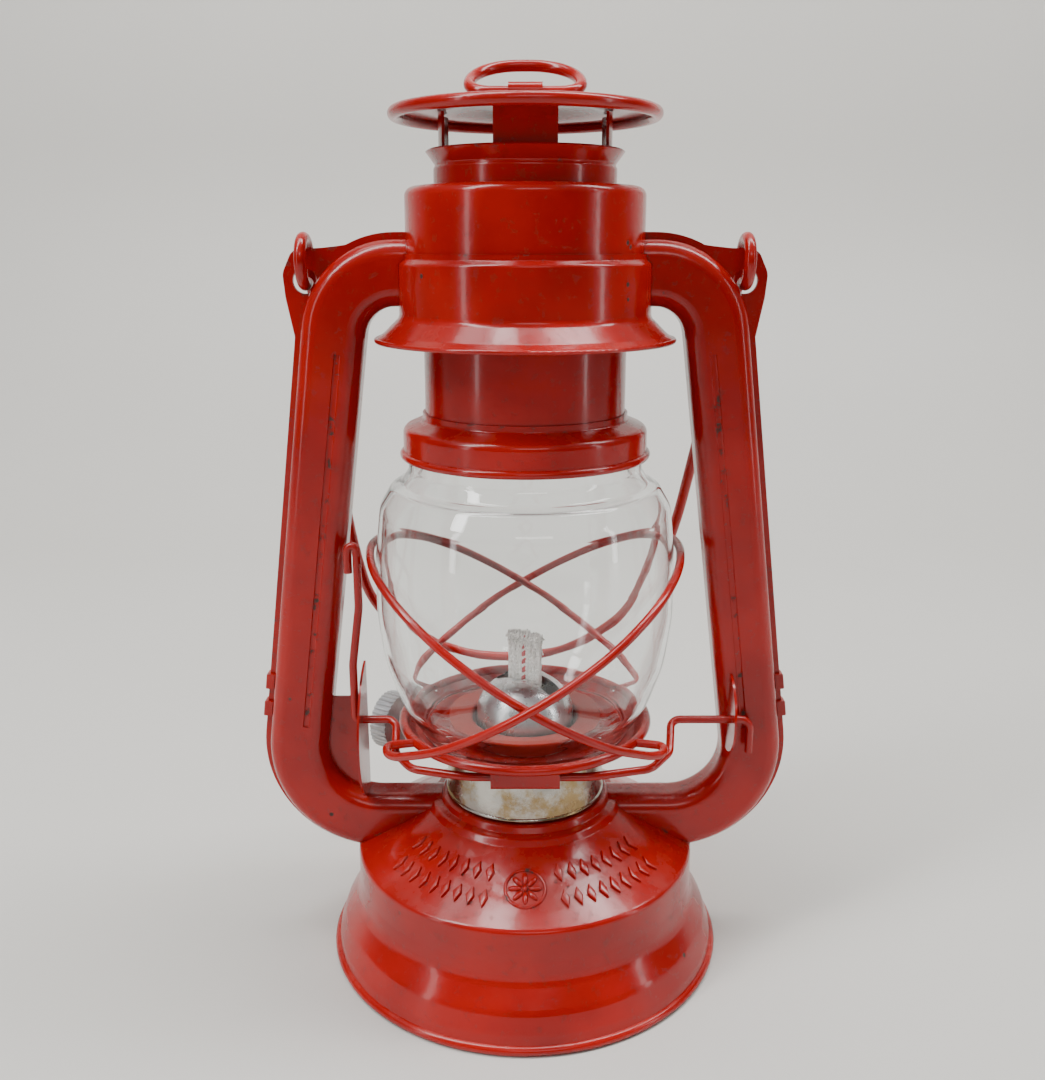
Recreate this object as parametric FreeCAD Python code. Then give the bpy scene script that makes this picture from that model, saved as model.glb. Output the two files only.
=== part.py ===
"""Tubular wick lantern, in millimetres.

The origin is the middle of the foot on the table, +Z is up and the front faces -Y.
The lantern is pressed from thin sheet, so most parts are a sheet profile turned about Z.
"""
import FreeCAD, Part
import math
import os
from FreeCAD import Vector

# ---------------------------------------------------------------- driving sizes
SHEET = 0.8                 # enamelled sheet
FIT = 0.05                  # gap where two fixed pieces seat on each other
RUN = 0.1                   # radial gap of a shaft or wire in its bore
CLEAR = 0.5                 # gap between pieces that move past each other

FOOT_R = 69.2               # foot bead, outside
FOOT_BEAD_R = 1.7
FOOT_FLAT = 0.25            # how far the bead is worn flat underneath
TANK_R = 59.4               # tank wall, outside
TANK_H = 37.5               # height of the tank's shoulder
DOME_STEP_R = 34.0          # ring pressed in the dome
DOME_STEP_Z = 52.0
DOME_TOP_R = 25.4           # hole in the dome
DOME_TOP_Z = 56.6
BOTTOM_Z = 6.5              # height of the tank bottom

BURNER_R = 27.3             # burner cup, outside
NECK_R = 12.0               # burner's screwed neck, outside
CUP_TOP_Z = 76.6
BURNER_DOME_R = 17.0
BURNER_DOME_TOP = 99.0
SLOT_W = 7.6                # slot in the burner dome
SLOT_L = 25.0
WICK_W = 12.5
WICK_T = 2.6
WICK_TOP = 114.0
WICK_LOW = 26.0
WICK_AZ = 150.0             # direction of the wick's width and of its shaft
SHAFT_Z = 66.0
SHAFT_R = 1.5
SPUR_R = 4.0
KNOB_R = 11.0
KNOB_W = 7.0
KNOB_AT = 58.0              # inner face of the knob from the axis

PLATE_Z = 78.0              # floor of the globe plate, mid sheet
SEAT_Z = 81.4               # flat that carries the globe, mid sheet
SEAT_R = 34.6               # inner edge of the seat
PLATE_R = 42.2              # rolled rim of the globe plate, centre of the bead
PLATE_RIM_Z = 84.2
RIM_BEAD_R = 1.7
RING_Z = 85.0               # draught ring

GLOBE_R = 50.0
GLOBE_NECK_R = 38.2
GLOBE_TOP = 184.6
GLASS = 2.0
GUARD_WIRE_R = 1.4
GUARD_R = GLOBE_R + GUARD_WIRE_R + 0.3      # guard wire, centre

CAP_R = 39.6                # globe cap, outside of its band
CAP_Z = 178.2               # its lower bead
CHIMNEY_R = 32.3
SHOULDER_Z = 226.0
VENT_R = 28.2               # vent collar, outside
VENT_TOP = 271.0
VENT_LIP_R = 30.6
CANOPY_R = 39.8             # rolled rim of the canopy, centre of the bead
CANOPY_Z = 281.5
CANOPY_BEAD_R = 1.9
CANOPY_RISE = 3.2
LEG_W = 18.5

CROWN_R = 37.3              # chamber crown, outside
CROWN_TOP = 260.6
DRUM_R = 39.8               # chamber skirt's drum, outside
DRUM_TOP = 238.4
SKIRT_R = 47.2              # flared edge, centre of its bead
SKIRT_Z = 214.6

TUBE_HALF_W = 10.2          # side tube, half its width in the frame's plane
TUBE_DEPTH = 8.3            # depth of one pressed half
TUBE_CORNER = 5.5
FLANGE = 2.2                # seam flange proud of the tube
ARM_Z = 235.0               # middle of the tube where it meets the chamber
ARM_BEND_R = 20.0
FOOT_BEND_R = 28.0
FOOT_TUBE_Z = 45.6          # middle of the tube where it meets the dome
LEG_TOP = (GLOBE_R + 10.4, 219.0)           # two points on the tube's straight middle line
LEG_LOW = (GLOBE_R + 29.0, 75.0)
SEAM_GAP = 0.05             # between the two halves
CREASE_W = 2.4              # crease pressed in the tube's face
CREASE_D = 0.4

EAR_X = LEG_TOP[0] + 8.9
EAR_HOLE_Z = 232.5
EAR_HOLE_R = 3.9
EAR_R = 7.0
BAIL_WIRE_R = 1.9
EYE_R = 7.1                 # eye on the bail's end, to the wire's centre
EYE_Z = 238.5
BAIL_REST = 20.5            # degrees behind the vertical
BAIL_LEN = 172.5
BAIL_BOW_R = 61.0
BAIL_LEAN = 0.045           # sideways lean per unit length, loose in its ears

LIFT_WIRE_R = 1.35
LIFT_Y = -12.0              # hinge line of the lift wire
LIFT_Z = 88.0
LEVER_TOP = 149.0
LEVER_X = -(GUARD_R + 3.2)  # upright part of the lever, beside the globe
LEVER_FOOT_X = LEVER_X - 2.7
LIFT_RIGHT_X = LEG_LOW[0] - 2.5
LIFT_FRONT_Y = -36.5        # where the wire passes under the plate
LIFT_FRONT_Z = 79.2

RING_WIRE_R = 1.8
RING_HALF_W = 17.2
RING_LEN = 23.0
RING_LEAN = 27.0            # degrees above the horizontal, leaning back
STRAP_W = 10.4

FILLER_AT = 46.5            # filler from the axis, at the back
FILLER_R = 10.5
FILLER_CAP_R = 13.2
FILLER_CAP_H = 9.0

SPRING_WIRE_R = 0.7
SPRING_TURNS = 5.0

O = Vector(0, 0, 0)
X = Vector(1, 0, 0)
Y = Vector(0, 1, 0)
Z = Vector(0, 0, 1)


# ---------------------------------------------------------------- helpers
def unit(a):
    return Vector(a).normalize()


def rounded_path(points, radii):
    """Edges of a polyline whose inner corners are rounded to the given radii."""
    edges = []
    start = Vector(points[0])
    for i in range(1, len(points) - 1):
        corner = Vector(points[i])
        back = unit(Vector(points[i - 1]) - corner)
        ahead = unit(Vector(points[i + 1]) - corner)
        half = back.getAngle(ahead) / 2
        r = radii[i - 1]
        if r > 1e-6 and half < math.pi / 2 - 1e-4:
            cut = r / math.tan(half)
            middle = corner + unit(back + ahead) * (r / math.sin(half) - r)
            arc_in = corner + back * cut
            arc_out = corner + ahead * cut
            if (arc_in - start).Length > 1e-4:
                edges.append(Part.LineSegment(start, arc_in).toShape())
            edges.append(Part.Arc(arc_in, middle, arc_out).toShape())
            start = arc_out
        else:
            edges.append(Part.LineSegment(start, corner).toShape())
            start = corner
    end = Vector(points[-1])
    if (end - start).Length > 1e-4:
        edges.append(Part.LineSegment(start, end).toShape())
    return edges


def shifted(points, radii, h):
    """A 2-D polyline moved h to its left, with its corner radii."""
    normals = []
    for a, b in zip(points, points[1:]):
        d = unit(Vector(b[0] - a[0], b[1] - a[1], 0))
        normals.append(Vector(-d.y, d.x, 0))
    moved = [Vector(points[0][0], points[0][1], 0) + normals[0] * h]
    new_radii = []
    for i in range(1, len(points) - 1):
        n1, n2 = normals[i - 1], normals[i]
        shift = (n1 + n2) * (h / (1 + n1.dot(n2)))
        moved.append(Vector(points[i][0], points[i][1], 0) + shift)
        turn = n1.cross(n2).z
        sign = 1 if turn > 0 else -1
        r = radii[i - 1]
        new_radii.append(max(r - sign * h, 0.0) if r > 0 else 0.0)
    moved.append(Vector(points[-1][0], points[-1][1], 0) + normals[-1] * h)
    return moved, new_radii


def strip_face(points, radii, thick=SHEET):
    """Face of a bent sheet's section in the XZ plane, from its (radius, height) middle line."""
    left, left_r = shifted(points, radii, thick / 2)
    right, right_r = shifted(points, radii, -thick / 2)
    left3 = [Vector(p.x, 0, p.y) for p in left]
    right3 = [Vector(p.x, 0, p.y) for p in reversed(right)]
    edges = rounded_path(left3, left_r)
    edges.append(Part.LineSegment(left3[-1], right3[0]).toShape())
    edges += rounded_path(right3, list(reversed(right_r)))
    edges.append(Part.LineSegment(right3[-1], left3[0]).toShape())
    return Part.Face(Part.Wire(edges))


def turned(points, radii, thick=SHEET):
    """Sheet turned about Z from its middle line."""
    return strip_face(points, radii, thick).revolve(O, Z, 360)


def turned_solid(points, radii):
    """Full solid turned about Z: the outline from the axis, round and back to it."""
    pts = [Vector(r, 0, z) for r, z in points]
    edges = rounded_path(pts, radii)
    edges.append(Part.LineSegment(pts[-1], pts[0]).toShape())
    return Part.Face(Part.Wire(edges)).revolve(O, Z, 360)


def bead(radius, z, r):
    return Part.makeTorus(radius, r, Vector(0, 0, z), Z)


def joined(*shapes):
    out = shapes[0]
    for s in shapes[1:]:
        out = out.fuse(s)
    return out.removeSplitter()


def rod(points, radii, r):
    """Round wire along a path with rounded corners."""
    pieces = []
    for edge in rounded_path(points, radii):
        start = edge.valueAt(edge.FirstParameter)
        disc = Part.Face(Part.Wire([Part.Circle(start, edge.tangentAt(edge.FirstParameter), r).toShape()]))
        if isinstance(edge.Curve, Part.Circle):
            turn = math.degrees(edge.LastParameter - edge.FirstParameter)
            pieces.append(disc.revolve(edge.Curve.Center, edge.Curve.Axis, turn))
        else:
            pieces.append(disc.extrude(edge.valueAt(edge.LastParameter) - start))
    return pieces[0].fuse(pieces[1:]).removeSplitter()


def smooth_radii(points, share=0.45):
    """Corner radii as large as the neighbouring runs allow."""
    radii = []
    for i in range(1, len(points) - 1):
        back = Vector(points[i - 1]) - Vector(points[i])
        ahead = Vector(points[i + 1]) - Vector(points[i])
        turn = math.pi - back.getAngle(ahead)
        run = min(back.Length, ahead.Length)
        radii.append(share * run / math.tan(max(turn, 1e-3) / 2))
    return radii


def box(x0, x1, y0, y1, z0, z1):
    return Part.makeBox(x1 - x0, y1 - y0, z1 - z0, Vector(x0, y0, z0))


def drum(r, z0, z1, axis=Z, at=O):
    return Part.makeCylinder(r, z1 - z0, Vector(at) + Vector(axis) * z0, axis)


def spun(shape, degrees):
    out = shape.copy()
    out.rotate(O, Z, degrees)
    return out


def mirrored(shape):
    return shape.mirror(O, X)


def write(name, shape):
    solids = shape.Solids
    if not solids or not all(s.isValid() for s in solids):
        print("CHECK", name, "solids", len(solids))
    out = solids[0] if len(solids) == 1 else Part.makeCompound(solids)
    out.exportStep("parts/" + name + ".step")


# ---------------------------------------------------------------- tank
DOME_EDGE_R = TANK_R - SHEET / 2
DOME_SLOPE = (DOME_STEP_Z - TANK_H) / (DOME_EDGE_R - DOME_STEP_R)


def dome_height(r):
    """Height of the dome's middle sheet between the shoulder and the pressed ring."""
    return TANK_H + (DOME_EDGE_R - r) * DOME_SLOPE


def tank_lines():
    wall = DOME_EDGE_R
    foot = FOOT_R - FOOT_BEAD_R
    points = [
        (foot, FOOT_BEAD_R), (foot - 0.8, 6.0), (foot - 3.0, 12.5), (wall + 0.6, 20.5),
        (wall, 27.0), (wall, TANK_H), (DOME_STEP_R, DOME_STEP_Z),
        (DOME_STEP_R - 1.6, DOME_STEP_Z + 2.0), (DOME_STEP_R - 4.2, DOME_STEP_Z + 2.4),
        (DOME_STEP_R - 5.4, DOME_TOP_Z), (DOME_TOP_R, DOME_TOP_Z)]
    radii = [8.0, 9.0, 9.0, 10.0, 1.7, 1.5, 0.9, 0.9, 0.9]
    return points, radii


def tank_shell(tube_bores, filler_hole):
    points, radii = tank_lines()
    rim = bead(FOOT_R - FOOT_BEAD_R, FOOT_BEAD_R - FOOT_FLAT, FOOT_BEAD_R)
    body = joined(turned(points, radii), rim.cut(box(-100, 100, -100, 100, -5, 0)))
    for bore in tube_bores:
        body = body.cut(bore)
    return body.cut(filler_hole)


def dome_envelope():
    """Everything under the dome's outer face, to trim what stands on it."""
    half = SHEET / 2 + FIT / 2
    points, radii = tank_lines()
    outer, outer_r = shifted(points, radii, -half)
    profile = [(0.0, 0.0), (outer[0].x, 0.0)] + [(p.x, p.y) for p in outer] + [(0.0, outer[-1].y)]
    return turned_solid(profile, [0.0, 0.0] + outer_r + [0.0])


def tank_bottom():
    inner = FOOT_R - FOOT_BEAD_R - SHEET / 2 - 1.4
    return turned([(0, BOTTOM_Z), (inner - 6, BOTTOM_Z), (inner - 2.4, BOTTOM_Z + 1.6),
                   (inner - SHEET / 2, BOTTOM_Z + 1.6), (inner - SHEET / 2, 3.2)], [3.0, 1.0, 1.0])


def air_pan():
    rim = TANK_R - SHEET - FIT - SHEET / 2
    neck = NECK_R + 3.6
    return turned([(rim, 27.5), (rim, 30.5), (neck + 4, 43.5), (neck, 43.5), (neck, 51.0)], [1.2, 2.0, 1.2])


def tank_collar():
    outer = NECK_R + 3.6 - SHEET / 2 - FIT
    ring = drum(outer, 44.4, 55.4).cut(drum(NECK_R + RUN, 44.0, 56.0))
    flange = drum(outer + 2.0, 51.6, 53.0).cut(drum(NECK_R + RUN, 44.0, 56.0))
    return joined(ring, flange)


# ---------------------------------------------------------------- filler at the back
FILLER_TILT = math.atan(DOME_SLOPE)
FILLER_FOOT = Vector(0, FILLER_AT, dome_height(FILLER_AT))


def along_filler(shape):
    """Move a piece made about Z on to the filler's axis."""
    out = shape.copy()
    out.rotate(O, X, -math.degrees(FILLER_TILT))
    out.translate(FILLER_FOOT)
    return out


def filler_neck():
    half = SHEET / 2
    neck = turned([(FILLER_R + 3.4, half + FIT + half), (FILLER_R - half, half + FIT + half),
                   (FILLER_R - half, 7.4)], [0.9])
    return along_filler(neck)


def filler_cap():
    inner = FILLER_R + RUN
    top = 2.2 + FILLER_CAP_H
    shell = turned_solid([(0, 2.2), (FILLER_CAP_R - 0.9, 2.2), (FILLER_CAP_R, 3.4),
                          (FILLER_CAP_R, top - 1.5), (FILLER_CAP_R - 1.6, top), (0, top)],
                         [0.4, 0.6, 1.0, 0.8])
    shell = shell.cut(drum(inner, 2.0, top - 1.2))
    grip = drum(0.7, 2.6, top - 2.4, Z, Vector(FILLER_CAP_R + 0.15, 0, 0))
    count = 20
    grips = [spun(grip, 360.0 * i / count) for i in range(count)]
    return along_filler(shell.cut(Part.makeCompound(grips)))


def filler_gasket():
    top = 2.2 + FILLER_CAP_H - 1.2 - RUN
    ring = drum(FILLER_R - 0.2, 7.4 + RUN + 0.3, top).cut(drum(FILLER_R - 3.2, 0, top + 1))
    return along_filler(ring)


# ---------------------------------------------------------------- burner
WICK_DIR = Vector(math.cos(math.radians(WICK_AZ)), math.sin(math.radians(WICK_AZ)), 0)
WICK_NORMAL = Vector(math.cos(math.radians(WICK_AZ - 90)), math.sin(math.radians(WICK_AZ - 90)), 0)
SHAFT_OFF = WICK_T / 2 + SPUR_R + 0.3
TUBE_WALL = 0.6


def wick_box(length, thick, z0, z1, offset=0.0, shift=0.0):
    """Box along the wick's width, centred, moved offset across it and shift along it."""
    b = box(shift - length / 2, shift + length / 2, -thick / 2, thick / 2, z0, z1)
    b.rotate(O, Z, WICK_AZ)
    b.translate(WICK_NORMAL * offset)
    return b


def shaft_point(s):
    return WICK_DIR * s + WICK_NORMAL * SHAFT_OFF + Vector(0, 0, SHAFT_Z)


def shaft_drum(r, s0, s1):
    return Part.makeCylinder(r, s1 - s0, shaft_point(s0), WICK_DIR)


def burner_neck():
    neck = drum(NECK_R, 45.6, 57.0).cut(drum(NECK_R - 1.2, 45.0, 58.0))
    grooves = [bead(NECK_R, 47.5 + 2.0 * i, 0.45) for i in range(3)]
    return neck.cut(Part.makeCompound(grooves))


def burner_cup():
    wall = BURNER_R - SHEET / 2
    base_z = DOME_TOP_Z + SHEET / 2 + FIT + SHEET / 2
    floor = [(10.0, base_z), (wall - 1.0, base_z), (wall, base_z + 1.2), (wall, CUP_TOP_Z - 0.4)]
    cup = joined(turned(floor, [0.8, 0.8]), bead(wall + 0.1, base_z + 0.7, 0.8))
    slot = box(18.0, 24.0, -1.6, 1.6, 50, 60)
    cup = cup.cut(Part.makeCompound([spun(slot, 30.0 * i) for i in range(12)]))
    return cup.cut(shaft_drum(SHAFT_R + RUN, 20, 34))


def burner_diffuser():
    z = CUP_TOP_Z - 0.6
    outer = BURNER_R - SHEET - FIT
    inner = BURNER_DOME_R - SHEET - FIT - SHEET / 2
    disc = turned([(outer - SHEET / 2, z - 4.0), (outer - SHEET / 2, z), (inner, z), (inner, z + 9.0)],
                  [0.9, 0.8])
    hole = drum(0.9, z - 2, z + 2, Z, Vector(21.5, 0, 0))
    ring_a = [spun(hole, 15.0 * i) for i in range(24)]
    hole = drum(0.8, z - 2, z + 2, Z, Vector(18.4, 0, 0))
    ring_b = [spun(hole, 7.5 + 15.0 * i) for i in range(24)]
    return disc.cut(Part.makeCompound(ring_a + ring_b))


def burner_dome():
    base = CUP_TOP_Z + 4.8
    wall = BURNER_DOME_R - SHEET / 2
    top = BURNER_DOME_TOP - SHEET / 2
    face_top = 86.5
    a = Vector(wall, 0, face_top)
    b = Vector(wall * 0.80, 0, top - 4.4)
    c = Vector(0, 0, top)
    k = SHEET
    outer = [Vector(wall + k / 2, 0, base), Vector(wall + k / 2, 0, a.z),
             Vector(b.x + k * 0.35, 0, b.z + k * 0.35), Vector(0, 0, c.z + k / 2)]
    inner = [Vector(0, 0, c.z - k / 2), Vector(b.x - k * 0.35, 0, b.z - k * 0.35),
             Vector(wall - k / 2, 0, a.z), Vector(wall - k / 2, 0, base)]
    edges = [Part.LineSegment(outer[0], outer[1]).toShape(),
             Part.Arc(outer[1], outer[2], outer[3]).toShape(),
             Part.LineSegment(outer[3], inner[0]).toShape(),
             Part.Arc(inner[0], inner[1], inner[2]).toShape(),
             Part.LineSegment(inner[2], inner[3]).toShape(),
             Part.LineSegment(inner[3], outer[0]).toShape()]
    dome = Part.Face(Part.Wire(edges)).revolve(O, Z, 360)
    slot = wick_box(SLOT_L - SLOT_W, SLOT_W, 84, 110, 0.0, -1.5)
    ends = [drum(SLOT_W / 2, 84, 110, Z, WICK_DIR * (-1.5 + e * (SLOT_L - SLOT_W) / 2)) for e in (-1, 1)]
    return dome.cut(joined(slot, *ends))


def wick_tube():
    gap = 0.25
    outer = wick_box(WICK_W + 2 * (gap + TUBE_WALL), WICK_T + 2 * (gap + TUBE_WALL), 42.0, 96.5)
    bore = wick_box(WICK_W + 2 * gap, WICK_T + 2 * gap, 40.0, 99.0)
    window = wick_box(WICK_W - 1.5, 3.0, SHAFT_Z - SPUR_R - 1.5, SHAFT_Z + SPUR_R + 1.5, 2.8)
    tube = outer.cut(bore).cut(window)
    plate = drum(NECK_R - 1.2 - FIT, 52.0, 52.8).cut(wick_box(WICK_W + 2 * gap, WICK_T + 2 * gap, 40, 99))
    return joined(tube, plate)


def wick():
    return wick_box(WICK_W, WICK_T, WICK_LOW, WICK_TOP)


def wick_shaft():
    shaft = shaft_drum(SHAFT_R, -8.0, KNOB_AT + KNOB_W - 1.0)
    collar = shaft_drum(SHAFT_R + 1.0, BURNER_R + 0.6, BURNER_R + 2.4)
    tip = shaft_drum(SHAFT_R + 0.8, KNOB_AT + KNOB_W - 1.0, KNOB_AT + KNOB_W + 0.4)
    return joined(shaft, collar, tip)


def spur_wheel(s):
    """Small toothed wheel on the shaft that drives the wick."""
    width = 1.4
    wheel = shaft_drum(SPUR_R - 0.9, s, s + width)
    tooth = box(-0.55, 0.55, SPUR_R - 1.4, SPUR_R, 0, width)
    count = 10
    teeth = []
    for i in range(count):
        t = tooth.copy()
        t.rotate(O, Z, 360.0 * i / count)
        t.rotate(O, Y, 90)
        t.rotate(O, Z, WICK_AZ)
        t.translate(shaft_point(s))
        teeth.append(t)
    return joined(wheel, *teeth).cut(shaft_drum(SHAFT_R + FIT, s - 1, s + width + 1))


def spur_wheels():
    return Part.makeCompound([spur_wheel(s) for s in (-4.6, -0.7, 3.2)])


def wick_knob():
    disc = shaft_drum(KNOB_R, KNOB_AT, KNOB_AT + KNOB_W)
    hollow = shaft_drum(KNOB_R - 2.0, KNOB_AT + 1.4, KNOB_AT + KNOB_W + 1)
    hub = shaft_drum(SHAFT_R + 1.8, KNOB_AT + 1.0, KNOB_AT + KNOB_W - 1.2)
    body = joined(disc.cut(hollow), hub)
    groove = shaft_drum(0.6, KNOB_AT - 1, KNOB_AT + KNOB_W + 1)
    centre = shaft_point(0)
    groove.translate(Vector(0, 0, KNOB_R + 0.15))
    count = 36
    grooves = []
    for i in range(count):
        g = groove.copy()
        g.rotate(centre, WICK_DIR, 360.0 * i / count)
        grooves.append(g)
    body = body.cut(Part.makeCompound(grooves))
    return body.cut(shaft_drum(SHAFT_R + FIT, KNOB_AT - 1, KNOB_AT + KNOB_W + 1))


# ---------------------------------------------------------------- globe and its plate
RING_BORE = BURNER_DOME_R + 1.2
PLATE_HOLE = RING_BORE + SHEET + 0.3


def globe_plate(guard_holes):
    points = [(PLATE_HOLE, PLATE_Z), (SEAT_R - 1.0, PLATE_Z), (SEAT_R + 0.2, SEAT_Z),
              (PLATE_R - 3.8, SEAT_Z), (PLATE_R - 0.4, PLATE_RIM_Z + 0.2)]
    plate = joined(turned(points, [1.2, 1.2, 1.6]), bead(PLATE_R, PLATE_RIM_Z, RIM_BEAD_R))
    slot = box(27.2, 32.6, -0.8, 0.8, PLATE_Z - 2, PLATE_Z + 2)
    count = 28
    plate = plate.cut(Part.makeCompound([spun(slot, 360.0 * (i + 0.5) / count) for i in range(count)]))
    for hole in guard_holes:
        plate = plate.cut(hole)
    return plate


def draught_ring():
    low = PLATE_Z + SHEET / 2 + FIT
    return turned([(RING_BORE + SHEET / 2, low), (RING_BORE + SHEET / 2, RING_Z), (26.6, RING_Z)], [0.9])


def plate_clip(plate):
    """Strap under the front of the plate that holds the lift wire."""
    front = LIFT_FRONT_Y - LIFT_WIRE_R - 2.5
    back = LIFT_FRONT_Y + LIFT_WIRE_R + 1.3
    low = LIFT_FRONT_Z - LIFT_WIRE_R - 0.5 - SHEET / 2
    top_front = PLATE_RIM_Z - RIM_BEAD_R + 0.6
    top_back = SEAT_Z - 1.0
    points = [(front, top_front), (front, low), (back, low), (back, top_back)]
    face = strip_face(points, [1.3, 1.3])
    strap = face.extrude(Vector(0, 22.0, 0))
    strap.translate(Vector(0, -11.0, 0))
    strap.rotate(O, Z, 90)
    return sorted(strap.cut(plate).Solids, key=lambda q: q.Volume)[-1]


def globe():
    """Blown glass: foot, belly, shoulder and neck, with a wall of one thickness."""
    r = GLOBE_R - GLASS / 2
    n = GLOBE_NECK_R - GLASS / 2
    foot = SEAT_Z + SHEET / 2 + FIT
    rises = [(SEAT_R + 0.8, foot), (SEAT_R + 0.8, foot + 1.6), (SEAT_R + 2.6, 86.0),
             (r - 7.0, 93.5), (r - 2.2, 107.5), (r, 124.0),
             (r, 143.0), (r - 1.9, 160.5), (r - 5.6, 167.0),
             (n + 2.9, 168.3), (n, 172.6), (n, GLOBE_TOP)]
    radii = [2.0, 5.0, 24.0, 40.0, 60.0, 55.0, 8.0, 3.2, 3.2, 4.0]
    return turned(rises, radii, GLASS)


def guard_points(side, offset):
    """Middle line of one guard wire: high on the given side, low on the other, ends hooked in the rim."""
    step = 20.0
    hoop = []
    angles = [-140.0 + step * i for i in range(15)]
    for a in angles:
        rad = math.radians(a)
        bulge = offset * math.sin(rad) ** 2
        r = (GUARD_R + bulge) / math.cos(math.radians(step / 2))
        z = 113.0 + 4.0 * math.sin(rad) + 33.0 * math.cos(rad)
        hoop.append(Vector(side * r * math.cos(rad), r * math.sin(rad), z))
    rim = PLATE_R - 0.2
    front = [Vector(side * -rim * 0.855, -rim * 0.52, PLATE_RIM_Z),
             Vector(side * -45.6, -25.5, PLATE_RIM_Z + 0.6),
             Vector(side * -44.6, -31.0, PLATE_RIM_Z + 0.2)]
    back = [Vector(side * -44.6, 31.0, PLATE_RIM_Z + 2.2),
            Vector(side * -45.6, 25.5, PLATE_RIM_Z + 0.6),
            Vector(side * -rim * 0.855, rim * 0.52, PLATE_RIM_Z)]
    return front + hoop + back


def guard_wire(side, offset, extra=0.0):
    points = guard_points(side, offset)
    return rod(points, smooth_radii(points), GUARD_WIRE_R + extra)


def guard_hole(side, offset, end):
    """Hole in the plate's rim for one hooked end of a guard wire."""
    points = guard_points(side, offset)
    a, b = (points[0], points[1]) if end == 0 else (points[-1], points[-2])
    d = unit(b - a)
    return Part.makeCylinder(GUARD_WIRE_R + FIT, 9.0, a - d * 3.0, d)


# ---------------------------------------------------------------- chimney and canopy
def globe_cap():
    band = CAP_R - SHEET / 2
    lip = CHIMNEY_R + FIT + SHEET / 2
    points = [(lip, 191.6), (lip, 189.3), (band, 186.6), (band, CAP_Z)]
    return joined(turned(points, [1.2, 2.2]), bead(band + 0.3, CAP_Z, 1.3))


def chimney_tube():
    wall = CHIMNEY_R - SHEET / 2
    neck = VENT_R - SHEET - FIT - SHEET / 2
    return turned([(wall, 188.2), (wall, SHOULDER_Z), (neck, SHOULDER_Z + 5.0), (neck, 262.0)], [3.0, 3.0])


def vent_collar():
    wall = VENT_R - SHEET / 2
    points = [(wall, SHOULDER_Z + 8.0), (wall, VENT_TOP - 5.2), (wall - 0.7, VENT_TOP - 4.2),
              (VENT_LIP_R - SHEET / 2, VENT_TOP)]
    return turned(points, [1.0, 1.2])


def canopy_legs():
    outer = VENT_R - 2 * SHEET - 2 * FIT
    wall = outer - SHEET / 2
    top = CANOPY_Z + 0.2
    body = turned([(wall, 250.0), (wall, top)], [])
    half = LEG_W / 2
    window = 40.0
    corner = box(half, window, half, window, VENT_TOP - 0.4, top + 1)
    windows = [spun(corner, 90.0 * i) for i in range(4)]
    return body.cut(Part.makeCompound(windows))


def canopy():
    low = CANOPY_Z + 0.2 + FIT + SHEET / 2
    points = [(0, low + CANOPY_RISE), (16.0, low + CANOPY_RISE), (27.5, low), (CANOPY_R, CANOPY_Z + 1.2)]
    return joined(turned(points, [30.0, 25.0]), bead(CANOPY_R, CANOPY_Z, CANOPY_BEAD_R))


def canopy_top():
    return CANOPY_Z + 0.2 + FIT + SHEET + CANOPY_RISE


def ring_bar_z():
    """Height of the lift ring's straight bar, just clear of the canopy."""
    return canopy_top() + RING_WIRE_R + 0.4


def ring_strap():
    """Bridge lanced up over the lift ring's bar."""
    gap = RING_WIRE_R + 0.35 + SHEET / 2
    foot = canopy_top() + FIT + SHEET / 2
    bar = ring_bar_z()
    points = [(-gap - 3.4, foot), (-gap, foot), (-gap, bar + gap), (gap, bar + gap), (gap, foot),
              (gap + 3.4, foot)]
    face = strip_face(points, [0.9, gap - 0.3, gap - 0.3, 0.9])
    strap = face.extrude(Vector(0, STRAP_W, 0))
    strap.translate(Vector(0, -STRAP_W / 2, 0))
    strap.rotate(O, Z, 90)
    return strap


def lift_ring():
    half = RING_HALF_W
    low = 7.0
    points = [Vector(0, 0, 0), Vector(half, 0, 0), Vector(half, RING_LEN, 0), Vector(-half, RING_LEN, 0),
              Vector(-half, 0, 0), Vector(0, 0, 0)]
    top = min(half, RING_LEN - low) - 0.5
    ring = rod(points, [low, top, top, low], RING_WIRE_R)
    ring.rotate(O, X, RING_LEAN)
    ring.translate(Vector(0, 0, ring_bar_z()))
    return ring


# ---------------------------------------------------------------- upper chamber
def chamber_lines():
    crown = CROWN_R - SHEET / 2
    hole = VENT_R + CLEAR
    wall = DRUM_R - SHEET / 2
    crown_points = [(hole, CROWN_TOP - SHEET / 2), (crown, CROWN_TOP - SHEET / 2), (crown, DRUM_TOP - 0.6)]
    collar = CROWN_R + FIT + SHEET / 2
    skirt_points = [(collar, DRUM_TOP + 2.4), (collar, DRUM_TOP + 0.6), (wall, DRUM_TOP - 0.8), (wall, 221.5),
                    (SKIRT_R - 2.4, SKIRT_Z + 1.6), (SKIRT_R, SKIRT_Z)]
    return crown_points, skirt_points


def chamber_envelope():
    """Everything inside the chamber's outer face, to trim the side tubes."""
    g = FIT
    crown = CROWN_R + g
    wall = DRUM_R + g
    collar = CROWN_R + 2 * g + SHEET
    points = [(0, 200), (wall, 200), (wall, DRUM_TOP - 0.6), (collar, DRUM_TOP + 0.9),
              (collar, DRUM_TOP + 2.5), (crown, DRUM_TOP + 2.6), (crown, CROWN_TOP), (0, CROWN_TOP)]
    return turned_solid(points, [0, 0, 0, 0, 0, 0])


def chamber_crown(bores):
    points, _ = chamber_lines()
    body = turned(points, [2.4])
    for bore in bores:
        body = body.cut(bore)
    return body


def chamber_skirt(bores):
    _, points = chamber_lines()
    body = joined(turned(points, [0.8, 0.8, 3.0, 2.0]), bead(SKIRT_R, SKIRT_Z, 0.75))
    for bore in bores:
        body = body.cut(bore)
    return body


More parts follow.
